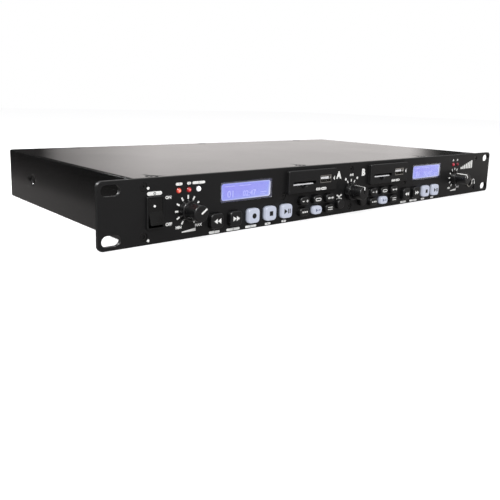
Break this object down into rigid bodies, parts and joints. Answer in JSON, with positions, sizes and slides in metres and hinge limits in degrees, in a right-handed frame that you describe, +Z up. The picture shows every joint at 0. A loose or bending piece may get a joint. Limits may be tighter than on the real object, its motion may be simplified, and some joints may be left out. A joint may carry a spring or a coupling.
{
  "type": "rack media player",
  "caption": "One-unit rack media player with two decks, each with a display, card and USB slots and lit keys, plus knobs, a mix selector and a power rocker.",
  "frame": {"origin": "middle of the front panel's front face, the centre of the four rack slots", "axes": "+X to the user's right along the panel, +Y back into the case, +Z up"},
  "size_m": [0.4826, 0.2595, 0.044],
  "materials": {
    "panel_paint": "satin black paint",
    "case_paint": "satin black powder coat",
    "zinc_steel": "zinc plated",
    "black_plastic": "fine moulded texture",
    "rocker_plastic": "gloss",
    "knob_plastic": "satin",
    "black_key": "satin",
    "lit_key": "translucent, lit from behind",
    "clear_pane": "clear acrylic",
    "display": "backlit liquid crystal",
    "led_lens": "tinted lens",
    "nickel": "nickel plated",
    "circuit_board": "solder resist",
    "toroid": "taped winding",
    "ribbon": "ribbed grey",
    "black_screw": "black oxide"
  },
  "bodies": {
    "root": {"board_standoffs": "zinc_steel", "card_sockets": "zinc_steel", "case_screws": "black_screw", "chassis_tray": "case_paint", "control_board": "circuit_board", "front_frame": "zinc_steel", "front_panel": "panel_paint", "headphone_jack": "black_plastic", "jack_ring": "nickel", "lcd_modules": "display", "lcd_windows": "clear_pane", "main_board": "circuit_board", "mains_inlet": "black_plastic", "media_bezel_a": "black_plastic", "media_bezel_b": "black_plastic", "panel_screws": "black_screw", "power_board": "circuit_board", "power_switch_body": "black_plastic", "rear_panel": "case_paint", "ribbon_cables": "ribbon", "selector_switch": "zinc_steel", "socket_barrels": "nickel", "socket_blocks": "black_plastic", "status_leds": "led_lens", "tact_switches": "black_plastic", "top_cover": "case_paint", "transformer": "toroid", "usb_ports": "nickel", "usb_tongues": "black_plastic", "volume_pots": "zinc_steel"},
    "rewind_a": {"rewind_button_a": "black_key"},
    "forward_a": {"forward_button_a": "black_key"},
    "record": {"record_button": "lit_key"},
    "stop_a": {"stop_button_a": "lit_key"},
    "play_a": {"play_button_a": "lit_key"},
    "rewind_b": {"rewind_button_b": "black_key"},
    "forward_b": {"forward_button_b": "black_key"},
    "stop_b": {"stop_button_b": "lit_key"},
    "play_b": {"play_button_b": "lit_key"},
    "function_1a": {"function_button_1a": "black_key"},
    "function_2a": {"function_button_2a": "black_key"},
    "function_3a": {"function_button_3a": "black_key"},
    "function_4a": {"function_button_4a": "black_key"},
    "function_5a": {"function_button_5a": "lit_key"},
    "function_6a": {"function_button_6a": "black_key"},
    "function_1b": {"function_button_1b": "black_key"},
    "function_2b": {"function_button_2b": "black_key"},
    "function_3b": {"function_button_3b": "black_key"},
    "function_4b": {"function_button_4b": "black_key"},
    "function_5b": {"function_button_5b": "lit_key"},
    "function_6b": {"function_button_6b": "black_key"},
    "fader_a": {"fader_button_a": "black_key"},
    "fader_b": {"fader_button_b": "black_key"},
    "record_volume": {"record_volume_knob": "knob_plastic", "record_volume_shaft": "nickel"},
    "mix_selector": {"mix_selector_knob": "knob_plastic", "mix_selector_shaft": "nickel"},
    "phones_volume": {"phones_volume_knob": "knob_plastic", "phones_volume_shaft": "nickel"},
    "rocker": {"power_rocker": "rocker_plastic"}
  },
  "joints": [
    {"name": "rewind_a_press", "type": "slide", "parent": "root", "child": "rewind_a", "axis": [0, 1, 0], "range_m": [0, 0.0008], "stiffness_N_per_m": 600, "springref_m": -0.0005},
    {"name": "forward_a_press", "type": "slide", "parent": "root", "child": "forward_a", "axis": [0, 1, 0], "range_m": [0, 0.0008], "stiffness_N_per_m": 600, "springref_m": -0.0005},
    {"name": "record_press", "type": "slide", "parent": "root", "child": "record", "axis": [0, 1, 0], "range_m": [0, 0.0008], "stiffness_N_per_m": 600, "springref_m": -0.0005},
    {"name": "stop_a_press", "type": "slide", "parent": "root", "child": "stop_a", "axis": [0, 1, 0], "range_m": [0, 0.0008], "stiffness_N_per_m": 600, "springref_m": -0.0005},
    {"name": "play_a_press", "type": "slide", "parent": "root", "child": "play_a", "axis": [0, 1, 0], "range_m": [0, 0.0008], "stiffness_N_per_m": 600, "springref_m": -0.0005},
    {"name": "rewind_b_press", "type": "slide", "parent": "root", "child": "rewind_b", "axis": [0, 1, 0], "range_m": [0, 0.0008], "stiffness_N_per_m": 600, "springref_m": -0.0005},
    {"name": "forward_b_press", "type": "slide", "parent": "root", "child": "forward_b", "axis": [0, 1, 0], "range_m": [0, 0.0008], "stiffness_N_per_m": 600, "springref_m": -0.0005},
    {"name": "stop_b_press", "type": "slide", "parent": "root", "child": "stop_b", "axis": [0, 1, 0], "range_m": [0, 0.0008], "stiffness_N_per_m": 600, "springref_m": -0.0005},
    {"name": "play_b_press", "type": "slide", "parent": "root", "child": "play_b", "axis": [0, 1, 0], "range_m": [0, 0.0008], "stiffness_N_per_m": 600, "springref_m": -0.0005},
    {"name": "function_1a_press", "type": "slide", "parent": "root", "child": "function_1a", "axis": [0, 1, 0], "range_m": [0, 0.0008], "stiffness_N_per_m": 600, "springref_m": -0.0005},
    {"name": "function_2a_press", "type": "slide", "parent": "root", "child": "function_2a", "axis": [0, 1, 0], "range_m": [0, 0.0008], "stiffness_N_per_m": 600, "springref_m": -0.0005},
    {"name": "function_3a_press", "type": "slide", "parent": "root", "child": "function_3a", "axis": [0, 1, 0], "range_m": [0, 0.0008], "stiffness_N_per_m": 600, "springref_m": -0.0005},
    {"name": "function_4a_press", "type": "slide", "parent": "root", "child": "function_4a", "axis": [0, 1, 0], "range_m": [0, 0.0008], "stiffness_N_per_m": 600, "springref_m": -0.0005},
    {"name": "function_5a_press", "type": "slide", "parent": "root", "child": "function_5a", "axis": [0, 1, 0], "range_m": [0, 0.0008], "stiffness_N_per_m": 600, "springref_m": -0.0005},
    {"name": "function_6a_press", "type": "slide", "parent": "root", "child": "function_6a", "axis": [0, 1, 0], "range_m": [0, 0.0008], "stiffness_N_per_m": 600, "springref_m": -0.0005},
    {"name": "function_1b_press", "type": "slide", "parent": "root", "child": "function_1b", "axis": [0, 1, 0], "range_m": [0, 0.0008], "stiffness_N_per_m": 600, "springref_m": -0.0005},
    {"name": "function_2b_press", "type": "slide", "parent": "root", "child": "function_2b", "axis": [0, 1, 0], "range_m": [0, 0.0008], "stiffness_N_per_m": 600, "springref_m": -0.0005},
    {"name": "function_3b_press", "type": "slide", "parent": "root", "child": "function_3b", "axis": [0, 1, 0], "range_m": [0, 0.0008], "stiffness_N_per_m": 600, "springref_m": -0.0005},
    {"name": "function_4b_press", "type": "slide", "parent": "root", "child": "function_4b", "axis": [0, 1, 0], "range_m": [0, 0.0008], "stiffness_N_per_m": 600, "springref_m": -0.0005},
    {"name": "function_5b_press", "type": "slide", "parent": "root", "child": "function_5b", "axis": [0, 1, 0], "range_m": [0, 0.0008], "stiffness_N_per_m": 600, "springref_m": -0.0005},
    {"name": "function_6b_press", "type": "slide", "parent": "root", "child": "function_6b", "axis": [0, 1, 0], "range_m": [0, 0.0008], "stiffness_N_per_m": 600, "springref_m": -0.0005},
    {"name": "fader_a_press", "type": "slide", "parent": "root", "child": "fader_a", "axis": [0, 1, 0], "range_m": [0, 0.0008], "stiffness_N_per_m": 600, "springref_m": -0.0005},
    {"name": "fader_b_press", "type": "slide", "parent": "root", "child": "fader_b", "axis": [0, 1, 0], "range_m": [0, 0.0008], "stiffness_N_per_m": 600, "springref_m": -0.0005},
    {"name": "record_volume_turn", "type": "hinge", "parent": "root", "child": "record_volume", "pos_m": [-0.1752, 0, -0.0022], "axis": [0, 1, 0], "range_deg": [-205, 95]},
    {"name": "mix_selector_turn", "type": "hinge", "parent": "root", "child": "mix_selector", "pos_m": [-0.0048, 0, -0.003], "axis": [0, 1, 0], "range_deg": [-40, 40]},
    {"name": "phones_volume_turn", "type": "hinge", "parent": "root", "child": "phones_volume", "pos_m": [0.1673, 0, -0.0022], "axis": [0, 1, 0], "range_deg": [-117, 183]},
    {"name": "rocker_tip", "type": "hinge", "parent": "root", "child": "rocker", "pos_m": [-0.2015, 0.0029, -0.0009], "axis": [1, 0, 0], "range_deg": [0, 19]}
  ]
}
